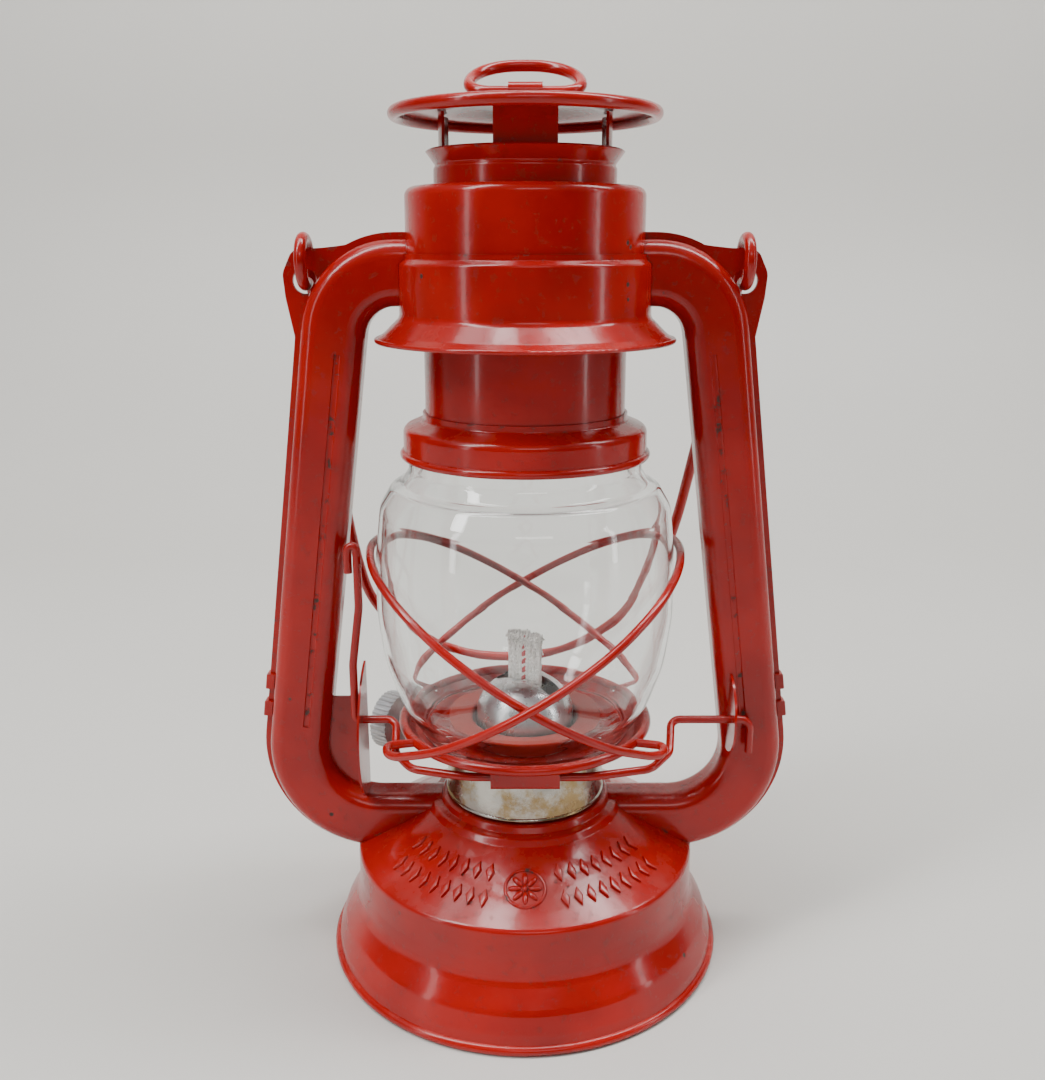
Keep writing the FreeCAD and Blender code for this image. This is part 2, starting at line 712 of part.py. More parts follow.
def chimney_spring():
    low = SHOULDER_Z + 5.6
    top = CROWN_TOP - SHEET - 0.3
    height = top - low - 2 * SPRING_WIRE_R
    radius = VENT_R + SPRING_WIRE_R + 0.9
    helix = Part.makeHelix(height / SPRING_TURNS, height, radius)
    start = Vector(radius, 0, 0)
    ring = Part.Wire([Part.Circle(start, Y, SPRING_WIRE_R).toShape()])
    spring = Part.Wire(helix).makePipeShell([ring], True, True)
    spring.translate(Vector(0, 0, low + SPRING_WIRE_R))
    return spring


# ---------------------------------------------------------------- side tubes
LEG_DIR = unit(Vector(LEG_LOW[0] - LEG_TOP[0], 0, LEG_LOW[1] - LEG_TOP[1]))
LEG_TILT = math.atan2(LEG_DIR.x, -LEG_DIR.z)


def leg_x(z):
    """The side tube's middle line at a height."""
    return LEG_TOP[0] + (LEG_TOP[1] - z) * math.tan(LEG_TILT)


def tube_path():
    top = Vector(leg_x(ARM_Z), 0, ARM_Z)
    low = Vector(leg_x(FOOT_TUBE_Z), 0, FOOT_TUBE_Z)
    points = [Vector(CROWN_R - 8, 0, ARM_Z), top, low, Vector(26.0, 0, FOOT_TUBE_Z)]
    return Part.Wire(rounded_path(points, [ARM_BEND_R, FOOT_BEND_R]))


def half_outline(grow, front):
    """Closed section of one pressed half: sheet with its outer flange."""
    w = TUBE_HALF_W + grow
    d = TUBE_DEPTH + grow
    c = TUBE_CORNER + grow
    t = SHEET
    g = SEAM_GAP / 2
    s = -1 if front else 1
    k = math.sqrt(0.5)
    ci = c - t

    def at(n, y):
        return Vector(CROWN_R - 8, s * y, ARM_Z + n)

    corners = [
        (at(w + FLANGE, g), at(w + FLANGE, g + t), None),
        (at(w + FLANGE, g + t), at(w, g + t), None),
        (at(w, g + t), at(w, d - c), None),
        (at(w, d - c), at(w - c, d), at(w - c + c * k, d - c + c * k)),
        (at(w - c, d), at(-w + c, d), None),
        (at(-w + c, d), at(-w, d - c), at(-w + c - c * k, d - c + c * k)),
        (at(-w, d - c), at(-w, g), None),
        (at(-w, g), at(-w + t, g), None),
        (at(-w + t, g), at(-w + t, d - c), None),
        (at(-w + t, d - c), at(-w + c, d - t), at(-w + c - ci * k, d - c + ci * k)),
        (at(-w + c, d - t), at(w - c, d - t), None),
        (at(w - c, d - t), at(w - t, d - c), at(w - c + ci * k, d - c + ci * k)),
        (at(w - t, d - c), at(w - t, g), None),
        (at(w - t, g), at(w + FLANGE, g), None)]
    edges = []
    for a, b, middle in corners:
        if middle is None:
            edges.append(Part.LineSegment(a, b).toShape())
        else:
            edges.append(Part.Arc(a, middle, b).toShape())
    return Part.Wire(edges)


def bore_outline(grow):
    """Closed section of the tube's inside, or of its outside when grown by the sheet."""
    w = TUBE_HALF_W - SHEET + grow
    d = TUBE_DEPTH - SHEET + grow
    c = TUBE_CORNER - SHEET + grow
    k = math.sqrt(0.5)

    def at(n, y):
        return Vector(CROWN_R - 8, y, ARM_Z + n)

    edges = []
    for i in range(4):
        sn = (1, -1, -1, 1)[i]
        sy = (1, 1, -1, -1)[i]
        flat = i % 2 == 0
        a = at(sn * w, sy * (d - c)) if flat else at(sn * (w - c), sy * d)
        b = at(sn * (w - c), sy * d) if flat else at(sn * w, sy * (d - c))
        middle = at(sn * (w - c + c * k), sy * (d - c + c * k))
        edges.append(Part.Arc(a, middle, b).toShape())
    links = []
    for i in range(4):
        end = edges[i].Vertexes[-1].Point
        start = edges[(i + 1) % 4].Vertexes[0].Point
        links.append(Part.LineSegment(end, start).toShape())
    order = []
    for arc, link in zip(edges, links):
        order += [arc, link]
    return Part.Wire(order)


def swept(outline):
    """Sweep a section along the side tube, keeping it square to the frame's plane."""
    pipe = Part.BRepOffsetAPI.MakePipeShell(tube_path())
    pipe.setBiNormalMode(Y)
    pipe.add(outline)
    pipe.build()
    pipe.makeSolid()
    return pipe.shape()


def crease():
    """Straight crease along the face of the tube."""
    length = 128.0
    b = box(-CREASE_W / 2, CREASE_W / 2, -TUBE_DEPTH - 1, -TUBE_DEPTH + CREASE_D, -length / 2, length / 2)
    b = b.makeFillet(CREASE_W * 0.3, [e for e in b.Edges if abs(e.tangentAt(e.FirstParameter).z) > 0.9
                                      and e.Vertexes[0].Y > -TUBE_DEPTH])
    b.translate(Vector(-2.6, 0, 0))
    b.rotate(O, Y, -math.degrees(LEG_TILT))
    middle = 0.5 * (LEG_TOP[1] + LEG_LOW[1])
    b.translate(Vector(leg_x(middle), 0, middle))
    return b


def ear(front, outside):
    """Flange grown out at the top corner to carry the bail."""
    s = -1 if front else 1
    r = EAR_R
    hx, hz = EAR_X, EAR_HOLE_Z
    top = EYE_Z + 4.1
    points = [Vector(52.0, 0, ARM_Z + 4), Vector(52.0, 0, top + 1.6), Vector(58.5, 0, top + 0.6),
              Vector(64.0, 0, top), Vector(hx + 3.6, 0, top - 0.4), Vector(hx + r, 0, hz + 2.4),
              Vector(hx + r - 0.6, 0, hz - 5.0), Vector(leg_x(216.0) + TUBE_HALF_W + FLANGE, 0, 214.0),
              Vector(leg_x(216.0), 0, 214.0), Vector(52.0, 0, ARM_Z + 4)]
    edges = rounded_path(points, [0, 6.0, 8.0, 4.0, 5.0, 5.0, 0, 0])
    y0 = s * SEAM_GAP / 2
    plate = Part.Face(Part.Wire(edges)).extrude(Vector(0, s * SHEET, 0))
    plate.translate(Vector(0, y0, 0))
    hole = Part.makeCylinder(EAR_HOLE_R, 6, Vector(hx, -3, hz), Y)
    return plate.cut(outside).cut(hole)


def tube_half(front, outside, chamber, dome):
    body = swept(half_outline(0.0, front))
    body = joined(body, ear(front, outside))
    hole = Part.makeCylinder(EAR_HOLE_R, 6, Vector(EAR_X, -3, EAR_HOLE_Z), Y)
    body = body.cut(hole).cut(chamber).cut(dome)
    mark = crease()
    if not front:
        mark = mark.mirror(O, Y)
    body = body.cut(mark)
    keep = box(CROWN_R - 10, 120, -30, 30, 0, 300)
    solids = sorted(body.common(keep).Solids, key=lambda q: q.Volume)
    return solids[-1]


def seam_clips(halves):
    """Two crimped clips over the outer seam of each tube."""
    clips = []
    for z in (96.0, 86.0):
        c = box(TUBE_HALF_W + 0.4, TUBE_HALF_W + FLANGE + 1.1, -2.1, 2.1, -2.7, 2.7)
        c = c.makeFillet(0.5, [e for e in c.Edges if e.BoundBox.XMin > TUBE_HALF_W + 1])
        c.rotate(O, Y, -math.degrees(LEG_TILT))
        c.translate(Vector(leg_x(z), 0, z))
        for half in halves:
            c = c.cut(half)
        solid = sorted(c.Solids, key=lambda q: q.Volume)[-1]
        clips.append(solid)
    return clips


# ---------------------------------------------------------------- lift wire and bail
def lift_wire():
    r = LIFT_WIRE_R
    hook = 2 * r + 0.3
    points = [Vector(LIFT_RIGHT_X, LIFT_Y, LIFT_Z - 12), Vector(LIFT_RIGHT_X, LIFT_Y, LIFT_Z),
              Vector(49.6, LIFT_Y, LIFT_Z), Vector(48.0, -22.5, LIFT_FRONT_Z + 1.8),
              Vector(41.0, -31.0, LIFT_FRONT_Z), Vector(20.0, LIFT_FRONT_Y, LIFT_FRONT_Z),
              Vector(-18.0, LIFT_FRONT_Y, LIFT_FRONT_Z), Vector(-37.0, -31.0, LIFT_FRONT_Z),
              Vector(-43.0, -23.0, LIFT_FRONT_Z + 1.8), Vector(-43.6, LIFT_Y, LIFT_Z),
              Vector(LEVER_FOOT_X, LIFT_Y, LIFT_Z), Vector(LEVER_FOOT_X, LIFT_Y, LIFT_Z + 20),
              Vector(LEVER_X, LIFT_Y, LIFT_Z + 40), Vector(LEVER_X, LIFT_Y, LEVER_TOP),
              Vector(LEVER_X - hook, LIFT_Y, LEVER_TOP), Vector(LEVER_X - hook, LIFT_Y, LEVER_TOP - 9)]
    radii = [3.6, 3.6, 5.0, 8.0, 30.0, 30.0, 8.0, 4.6, 3.6, 1.6, 20.0, 20.0, hook / 2, hook / 2]
    return rod(points, radii, r)


def wing(outline_y, outline_z, x):
    """Upright sheet across X whose front edge is an arc through three (y, z) points."""
    a, m, b = [Vector(x - SHEET / 2, y, z) for y, z in zip(outline_y, outline_z)]
    edges = [Part.Arc(a, m, b).toShape(), Part.LineSegment(b, a).toShape()]
    return Part.Face(Part.Wire(edges)).extrude(Vector(SHEET, 0, 0))


def wire_hole(x):
    return Part.makeCylinder(LIFT_WIRE_R + RUN, 8, Vector(x - 4, LIFT_Y, LIFT_Z), X)


def left_bracket(outside):
    x = LEVER_FOOT_X + LIFT_WIRE_R + CLEAR + SHEET / 2
    flag = wing((-1.0, LIFT_Y - 11.0, -1.0), (55.0, LIFT_Z - 9, LIFT_Z + 17), x)
    web = box(-76.0, x + SHEET / 2, -1.0 - SHEET, -1.0, 54.0, LIFT_Z + 4)
    web = web.cut(outside)
    web = sorted(web.Solids, key=lambda q: abs(q.CenterOfMass.x))[0]
    return joined(flag.cut(outside), web).cut(wire_hole(x))


def right_bracket(outside):
    x = 70.0
    fin = wing((-6.5, LIFT_Y - 8.5, -6.5), (LIFT_Z - 13, LIFT_Z + 1, LIFT_Z + 15), x)
    fin = fin.cut(outside)
    fin = sorted(fin.Solids, key=lambda q: q.Volume)[-1]
    return fin.cut(wire_hole(x))


def bail_point(x, length, out=0.0):
    """A point of the bail at rest, from its sideways place and its distance down the arm."""
    a = math.radians(BAIL_REST)
    down = Vector(0, math.sin(a), -math.cos(a))
    behind = Vector(0, math.cos(a), math.sin(a))
    return Vector(x, 0, EYE_Z) + down * length + behind * out


def bail():
    straight = BAIL_LEN - BAIL_BOW_R
    arm = []
    eye = EYE_R
    for side in (1, -1):
        x = side * EAR_X
        low = side * BAIL_BOW_R - BAIL_LEAN * straight
        arm.append([bail_point(x, eye - 3.0, 0), bail_point(x, eye, -eye),
                    bail_point(x, -eye, -eye), bail_point(x, -eye, eye), bail_point(x, 9.0, eye),
                    bail_point(low, straight, eye)])
    right, left = arm
    right[0] = bail_point(EAR_X, eye, 0.6)
    left[0] = bail_point(-EAR_X, eye, 0.6)
    centre = -BAIL_LEAN * BAIL_LEN
    bow = []
    count = 5
    for i in range(1, count):
        a = math.pi * i / count
        reach = BAIL_BOW_R / math.cos(math.pi / count / 2)
        bow.append(bail_point(centre + reach * math.cos(a), straight + reach * math.sin(a), eye))
    points = right + bow + list(reversed(left))
    radii = smooth_radii(points)
    last = len(radii)
    for i in (0, 1, 2):
        radii[i] = eye
        radii[last - 1 - i] = eye
    radii[3] = 40.0
    radii[last - 4] = 40.0
    return rod(points, radii, BAIL_WIRE_R)


# ---------------------------------------------------------------- build
def build():
    os.makedirs("parts", exist_ok=True)
    outside = swept(bore_outline(SHEET + 0.02))
    bore = swept(bore_outline(-0.02))
    chamber = chamber_envelope()
    dome = dome_envelope()
    front = tube_half(True, outside, chamber, dome)
    rear = tube_half(False, outside, chamber, dome)
    clips = seam_clips([front, rear])
    bores = [bore, mirrored(bore)]
    offsets = {1: 2 * GUARD_WIRE_R + 0.35, -1: 0.0}
    holes = [guard_hole(side, offsets[side], end) for side in (1, -1) for end in (0, 1)]
    filler_hole = along_filler(drum(FILLER_R - SHEET - 0.2, -3, 3))
    left_outside = mirrored(outside)

    write("tank_shell", tank_shell(bores, filler_hole))
    write("tank_bottom", tank_bottom())
    write("air_pan", air_pan().cut(along_filler(drum(FILLER_R + 1, -20, 5))))
    write("tank_collar", tank_collar())
    write("filler_neck", filler_neck())
    write("filler_cap", filler_cap())
    write("filler_gasket", filler_gasket())
    write("burner_neck", burner_neck())
    write("burner_cup", burner_cup())
    write("burner_diffuser", burner_diffuser())
    write("burner_dome", burner_dome())
    write("wick_tube", wick_tube())
    write("wick", wick())
    write("wick_shaft", wick_shaft())
    write("spur_wheels", spur_wheels())
    write("wick_knob", wick_knob())
    plate = globe_plate(holes)
    write("globe_plate", plate)
    write("draught_ring", draught_ring())
    write("plate_clip", plate_clip(plate))
    write("globe", globe())
    write("guard_wire_right", guard_wire(1, offsets[1]))
    write("guard_wire_left", guard_wire(-1, offsets[-1]))
    write("globe_cap", globe_cap())
    write("chimney_tube", chimney_tube())
    write("vent_collar", vent_collar())
    write("canopy_legs", canopy_legs())
    write("canopy", canopy())
    write("ring_strap", ring_strap())
    write("lift_ring", lift_ring())
    write("chamber_crown", chamber_crown(bores))
    write("chamber_skirt", chamber_skirt(bores))
    write("chimney_spring", chimney_spring())
    write("right_tube_front", front)
    write("right_tube_rear", rear)
    write("left_tube_front", mirrored(front))
    write("left_tube_rear", mirrored(rear))
    write("seam_clips", Part.makeCompound(clips + [mirrored(c) for c in clips]))
    write("lift_wire", lift_wire())
    write("left_bracket", left_bracket(left_outside))
    write("right_bracket", right_bracket(outside))
    write("bail", bail())


build()
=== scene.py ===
"""Looks of the wick lantern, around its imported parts. Metres, front towards -Y."""
import math
import random

import bmesh
import bpy
from mathutils import Matrix, Vector


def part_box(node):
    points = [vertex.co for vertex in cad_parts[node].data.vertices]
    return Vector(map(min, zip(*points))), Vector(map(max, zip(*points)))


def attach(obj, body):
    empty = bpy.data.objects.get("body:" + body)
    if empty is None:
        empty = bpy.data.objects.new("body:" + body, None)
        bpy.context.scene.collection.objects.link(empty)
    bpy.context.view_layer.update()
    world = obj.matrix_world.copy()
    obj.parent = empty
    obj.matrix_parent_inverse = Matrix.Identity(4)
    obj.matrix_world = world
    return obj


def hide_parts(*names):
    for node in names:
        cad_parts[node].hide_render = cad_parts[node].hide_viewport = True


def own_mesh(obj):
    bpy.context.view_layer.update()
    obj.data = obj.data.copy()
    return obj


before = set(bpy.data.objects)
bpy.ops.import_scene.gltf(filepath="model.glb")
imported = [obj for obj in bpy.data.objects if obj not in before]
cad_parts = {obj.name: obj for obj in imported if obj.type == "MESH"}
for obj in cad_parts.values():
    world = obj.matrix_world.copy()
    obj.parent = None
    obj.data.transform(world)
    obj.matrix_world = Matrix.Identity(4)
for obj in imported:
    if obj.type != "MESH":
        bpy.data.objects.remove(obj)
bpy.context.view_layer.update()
MM = 0.001
FRONT = -math.pi / 2
OIL_LINE = 0.101                # height where the wick begins to be oily
OIL_FADE = 0.009
SHEET_GRAIN = 1400
SHADOW_PASS = 0.8               # share of a shadow ray that the glass lets through
random.seed(7)


# ------------------------------------------------------------ nodes of a finish
class Finish:
    """One node material, read in object coordinates."""

    def __init__(self, name):
        self.mat = bpy.data.materials.new(name)
        self.mat.use_nodes = True
        self.tree = self.mat.node_tree
        self.tree.nodes.clear()
        self.shader = self.node("ShaderNodeBsdfPrincipled")
        out = self.node("ShaderNodeOutputMaterial")
        self.link(self.shader.outputs["BSDF"], out.inputs["Surface"])
        self.coords = self.node("ShaderNodeTexCoord")
        self.place = self.coords.outputs["Object"]

    def node(self, kind, **facts):
        made = self.tree.nodes.new(kind)
        for key, value in facts.items():
            setattr(made, key, value)
        return made

    def link(self, a, b):
        self.tree.links.new(a, b)

    def feed(self, socket, value):
        if hasattr(value, "is_output"):
            self.link(value, socket)
        else:
            socket.default_value = value

    def set(self, **values):
        for key, value in values.items():
            self.feed(self.shader.inputs[key.replace("_", " ")], value)

    def turned_place(self, degrees):
        mapping = self.node("ShaderNodeMapping", vector_type="TEXTURE")
        mapping.inputs["Rotation"].default_value = (0, 0, math.radians(degrees))
        self.link(self.place, mapping.inputs["Vector"])
        return mapping.outputs["Vector"]

    def noise(self, scale, detail=2.0, rough=0.5, place=None):
        made = self.node("ShaderNodeTexNoise")
        self.link(place or self.place, made.inputs["Vector"])
        made.inputs["Scale"].default_value = scale
        made.inputs["Detail"].default_value = detail
        made.inputs["Roughness"].default_value = rough
        return made.outputs["Fac"]

    def specks(self, scale):
        made = self.node("ShaderNodeTexVoronoi")
        self.link(self.place, made.inputs["Vector"])
        made.inputs["Scale"].default_value = scale
        return made.outputs["Distance"]

    def step(self, value, low, high, from_zero=0.0, to_one=1.0):
        made = self.node("ShaderNodeMapRange", interpolation_type="SMOOTHSTEP")
        self.feed(made.inputs["Value"], value)
        made.inputs["From Min"].default_value = low
        made.inputs["From Max"].default_value = high
        made.inputs["To Min"].default_value = from_zero
        made.inputs["To Max"].default_value = to_one
        return made.outputs["Result"]

    def math(self, work, a, b=0.0):
        made = self.node("ShaderNodeMath", operation=work)
        self.feed(made.inputs[0], a)
        self.feed(made.inputs[1], b)
        return made.outputs[0]

    def mix(self, share, a, b):
        made = self.node("ShaderNodeMix", data_type="RGBA")
        self.feed(made.inputs["Factor"], share)
        self.feed(made.inputs["A"], a)
        self.feed(made.inputs["B"], b)
        return made.outputs["Result"]

    def hollow(self, reach, inside=False):
        """0 in the open and 1 in a corner, or on an edge when inside is set."""
        made = self.node("ShaderNodeAmbientOcclusion", samples=6, inside=inside)
        made.inputs["Distance"].default_value = reach
        return self.math("SUBTRACT", 1.0, made.outputs["AO"])

    def split(self, vector):
        made = self.node("ShaderNodeSeparateXYZ")
        self.link(vector, made.inputs["Vector"])
        return made.outputs

    def bump(self, *layers):
        """Layers of (height, distance in metres), one on the other."""
        normal = None
        for height, distance in layers:
            made = self.node("ShaderNodeBump")
            made.inputs["Strength"].default_value = 1.0
            made.inputs["Distance"].default_value = distance
            self.link(height, made.inputs["Height"])
            if normal is not None:
                self.link(normal, made.inputs["Normal"])
            normal = made.outputs["Normal"]
        self.link(normal, self.shader.inputs["Normal"])


def rgb(r, g, b):
    return (r, g, b, 1.0)


def enamel(name, bright, deep, roughness, coat, worn=1.0):
    """Stove enamel: dips in the sheet, orange peel, dirt and painted shade in corners, chips on edges, dust
    on top.
    """
    f = Finish(name)
    tone = f.step(f.noise(28, 3), 0.35, 0.68)
    colour = f.mix(tone, rgb(*bright), rgb(*deep))
    up = f.split(f.coords.outputs["Normal"])["Z"]
    film = f.math("MULTIPLY", f.step(up, 0.35, 1.0), f.step(f.noise(70, 6, 0.65), 0.42, 0.7))
    colour = f.mix(f.math("MULTIPLY", film, 0.10 * worn), colour, rgb(0.40, 0.17, 0.13))
    # Painted shade: near-black red mixed in where ambient occlusion finds corners, broken up by noise into
    # patches of dirt.
    corner_shade = f.step(f.hollow(0.0045), 0.35, 0.85)
    dirt_and_shade = f.math("MULTIPLY", corner_shade, f.step(f.noise(160, 5, 0.7), 0.30, 0.62))
    colour = f.mix(f.math("MULTIPLY", dirt_and_shade, 0.72 * worn), colour, rgb(0.055, 0.012, 0.008))
    rims = f.step(f.hollow(0.0011, True), 0.45, 0.8)
    edge = f.math("MULTIPLY", rims, f.step(f.noise(330, 6, 0.7), 0.575, 0.62))
    nick = f.math("MULTIPLY", f.step(f.specks(82), 0.075, 0.045), f.step(f.noise(24, 3), 0.56, 0.63))
    chip = f.math("MULTIPLY", f.math("MAXIMUM", edge, nick), worn)
    colour = f.mix(chip, colour, rgb(0.045, 0.02, 0.014))
    rough = f.math("ADD", roughness, f.math("MULTIPLY", film, 0.22))
    rough = f.math("ADD", rough, f.math("MULTIPLY", f.math("MAXIMUM", chip, dirt_and_shade), 0.35))
    f.set(Base_Color=colour, Roughness=rough)
    f.shader.inputs["Coat Weight"].default_value = coat
    f.shader.inputs["Coat Roughness"].default_value = 0.07
    f.shader.inputs["Specular IOR Level"].default_value = 0.34
    f.bump((f.noise(20, 2), 0.0012), (f.noise(420, 2), 0.000035), (f.math("SUBTRACT", 1.0, chip), 0.00012))
    return f.mat


def plated(name, base, stain, roughness, stain_share):
    """Plated sheet with a rolled grain, clouding, stains, and painted shade with grime in the hollows."""
    f = Finish(name)
    cloud = f.step(f.noise(90, 5, 0.6), 0.35, 0.7)
    colour = f.mix(f.math("MULTIPLY", cloud, 0.6), rgb(*base), rgb(*[c * 0.55 for c in base]))
    runs = f.step(f.noise(55, 6, 0.72), 0.44, 0.60)
    colour = f.mix(f.math("MULTIPLY", runs, stain_share), colour, rgb(*stain))
    # Painted shade: near-black mixed in wherever ambient occlusion finds a hollow, standing also for grime
    # there.
    dirt_and_shade = f.step(f.hollow(0.004), 0.3, 0.9)
    colour = f.mix(f.math("MULTIPLY", dirt_and_shade, 0.7), colour, rgb(0.03, 0.024, 0.018))
    rough = f.math("ADD", roughness, f.math("MULTIPLY", cloud, 0.16))
    f.set(Base_Color=colour, Roughness=rough)
    f.shader.inputs["Metallic"].default_value = 1.0
    f.bump((f.noise(60, 3), 0.0005), (f.noise(SHEET_GRAIN, 2), 0.00002))
    return f.mat


def yarn_finish(name, pale, dark):
    """Twisted cotton: fine plies, fuzz, painted shade between the stitches, and soot and oil lower down."""
    f = Finish(name)
    flat = f.turned_place(150)
    frays = f.noise(1500, 4, 0.7, flat)
    blotch = f.step(f.noise(240, 3), 0.35, 0.7)
    # Painted shade: dark brown mixed in where ambient occlusion finds the gaps between stitches.
    gap_shade = f.step(f.hollow(0.9 * MM), 0.35, 0.9)
    colour = f.mix(f.step(frays, 0.3, 0.65), rgb(*dark), rgb(*pale))
    colour = f.mix(f.math("MULTIPLY", blotch, 0.22), colour, rgb(*dark))
    colour = f.mix(f.math("MULTIPLY", gap_shade, 0.8), colour, rgb(0.16, 0.12, 0.10))
    height = f.split(f.place)["Z"]
    oiled = f.step(height, OIL_LINE, OIL_LINE - OIL_FADE)
    colour = f.mix(f.math("MULTIPLY", oiled, 0.5), colour, rgb(0.20, 0.15, 0.10))
    f.set(Base_Color=colour, Roughness=0.95)
    f.shader.inputs["Sheen Weight"].default_value = 0.4
    f.shader.inputs["Sheen Roughness"].default_value = 0.6
    f.bump((frays, 0.0004))
    return f.mat


def cotton(name):
    return yarn_finish(name, (0.92, 0.90, 0.86), (0.66, 0.62, 0.56))


def red_yarn(name):
    return yarn_finish(name, (0.55, 0.012, 0.02), (0.36, 0.008, 0.014))


def glass(name):
    """Blown glass with a faint film. Shadow rays mostly pass, so that light reaches the burner."""
    f = Finish(name)
    streaks = f.node("ShaderNodeMapping", vector_type="TEXTURE")
    streaks.inputs["Scale"].default_value = (1, 1, 3.5)
    f.link(f.place, streaks.inputs["Vector"])
    film = f.step(f.noise(60, 5, 0.6), 0.5, 0.75)
    f.set(Base_Color=rgb(0.985, 0.993, 0.99), Roughness=f.math("MULTIPLY", film, 0.025))
    f.shader.inputs["Transmission Weight"].default_value = 1.0
    f.shader.inputs["IOR"].default_value = 1.47
    rays = f.node("ShaderNodeLightPath")
    f.set(Alpha=f.math("SUBTRACT", 1.0, f.math("MULTIPLY", rays.outputs["Is Shadow Ray"], SHADOW_PASS)))
    f.bump((f.noise(26, 2, 0.5, streaks.outputs["Vector"]), 0.0007))
    return f.mat


def rubber(name):
    f = Finish(name)
    colour = f.mix(f.noise(120, 4), rgb(0.018, 0.018, 0.018), rgb(0.05, 0.047, 0.043))
    f.set(Base_Color=colour, Roughness=0.72)
    f.bump((f.noise(900, 3), 0.00006))
    return f.mat


RED = (0.42, 0.0040, 0.0012)
DEEP_RED = (0.30, 0.0022, 0.0010)
finishes = {
    "red_enamel": enamel("red stove enamel", RED, DEEP_RED, 0.20, 0.22),
    "enamelled_wire": enamel("red enamelled wire", RED, DEEP_RED, 0.22, 0.3, 0.8),
    "draught_red": enamel("heat dulled red", (0.36, 0.022, 0.009), (0.24, 0.012, 0.006), 0.5, 0.0),
    "zinc": plated("stained zinc plate", (0.50, 0.485, 0.44), (0.30, 0.19, 0.06), 0.20, 0.85),
    "bright_metal": plated("satin bright plate", (0.76, 0.77, 0.79), (0.38, 0.35, 0.30), 0.24, 0.22),
    "knob_steel": plated("knurled knob steel", (0.56, 0.56, 0.57), (0.22, 0.19, 0.15), 0.28, 0.35),
    "spring_steel": plated("spring wire", (0.36, 0.36, 0.37), (0.16, 0.10, 0.06), 0.34, 0.4),
    "wick_cotton": cotton("woven wick cotton"),
    "globe_glass": glass("clear blown glass"),
    "gasket_rubber": rubber("black sealing rubber"),
}


# ------------------------------------------------------------ modelling helpers
def deselect():
    if bpy.context.mode != "OBJECT":
        bpy.ops.object.mode_set(mode="OBJECT")
    bpy.ops.object.select_all(action="DESELECT")


def active():
    return bpy.context.view_layer.objects.active


def only(obj):
    """Leaves obj alone selected and active."""
    deselect()
    obj.select_set(True)
    bpy.context.view_layer.objects.active = obj


def pick(obj, test):
    """Selects the faces of obj that test passes, in edit mode, and drops the others."""
    mesh = bmesh.from_edit_mesh(obj.data)
    for face in mesh.faces:
        face.select_set(bool(test(face)))
    bmesh.update_edit_mesh(obj.data)


def pick_edges(obj, test):
    mesh = bmesh.from_edit_mesh(obj.data)
    bpy.ops.mesh.select_all(action="DESELECT")
    for edge in mesh.edges:
        if test(edge):
            edge.select_set(True)
    bmesh.update_edit_mesh(obj.data)


def apply_modifier(obj, kind, **facts):
    made = obj.modifiers.new(kind.title(), kind)
    for key, value in facts.items():
        setattr(made, key, value)
    bpy.context.view_layer.objects.active = obj
    bpy.ops.object.modifier_apply(modifier=made.name)


def settle(obj, angle=40):
    """Place into the mesh, then smooth faces with sharp folds kept."""
    only(obj)
    bpy.ops.object.transform_apply(location=True, rotation=True, scale=True)
    bpy.ops.object.shade_smooth_by_angle(angle=math.radians(angle))
    return obj


def join(name, parts):
    deselect()
    for part in parts:
        part.select_set(True)
    bpy.context.view_layer.objects.active = parts[0]
    bpy.ops.object.join()
    made = active()
    made.name = name
    made.data.name = name
    return made


def outward(obj):
    only(obj)
    bpy.ops.object.mode_set(mode="EDIT")
    bpy.ops.mesh.select_all(action="SELECT")
    bpy.ops.mesh.remove_doubles(threshold=1e-6)
    bpy.ops.mesh.normals_make_consistent(inside=False)
    bpy.ops.object.mode_set(mode="OBJECT")


def softened(points, radii, steps=7):
    """The (radius, height) points with each corner rounded to its radius."""
    out = [Vector(points[0])]
    for before, corner, after, r in zip(points, points[1:], points[2:], radii):
        corner = Vector(corner)
        back = (Vector(before) - corner).normalized()
        ahead = (Vector(after) - corner).normalized()
        half = back.angle(ahead) / 2
        reach = r / math.tan(half)
        centre = corner + (back + ahead).normalized() * (r / math.sin(half))
        start = corner + back * reach - centre
        sweep = start.angle_signed(corner + ahead * reach - centre)
        for k in range(steps + 1):
            a = -sweep * k / steps
            cos, sin = math.cos(a), math.sin(a)
            turned = Vector((start.x * cos - start.y * sin, start.x * sin + start.y * cos))
            out.append(centre + turned)
    out.append(Vector(points[-1]))
    return out


def lathed(name, line, verts):
    """A ring drawn up through the (radius, height) line, each step extruded and sized."""
    deselect()
    bpy.ops.mesh.primitive_circle_add(vertices=verts, radius=line[0][0], location=(0, 0, line[0][1]))
    obj = active()
    obj.name = name
    obj.data.name = name
    bpy.ops.object.mode_set(mode="EDIT")
    bpy.ops.mesh.select_all(action="SELECT")
    for (r0, z0), (r1, z1) in zip(line, line[1:]):
        bpy.ops.mesh.extrude_region_move(TRANSFORM_OT_translate={"value": (0, 0, z1 - z0)})
        bpy.ops.transform.resize(value=(r1 / r0, r1 / r0, 1), center_override=(0, 0, z1))
    bpy.ops.object.mode_set(mode="OBJECT")
    return obj


def stretched(obj, shares):
    """Resizes the whole mesh about the origin."""
    bpy.ops.object.mode_set(mode="EDIT")
    bpy.ops.mesh.select_all(action="SELECT")
    bpy.ops.transform.resize(value=shares, center_override=(0, 0, 0))
    bpy.ops.object.mode_set(mode="OBJECT")
    return obj


def placed_copy(pattern, place):
    made = pattern.copy()
    made.data = pattern.data.copy()
    bpy.context.scene.collection.objects.link(made)
    made.matrix_world = place
    return made


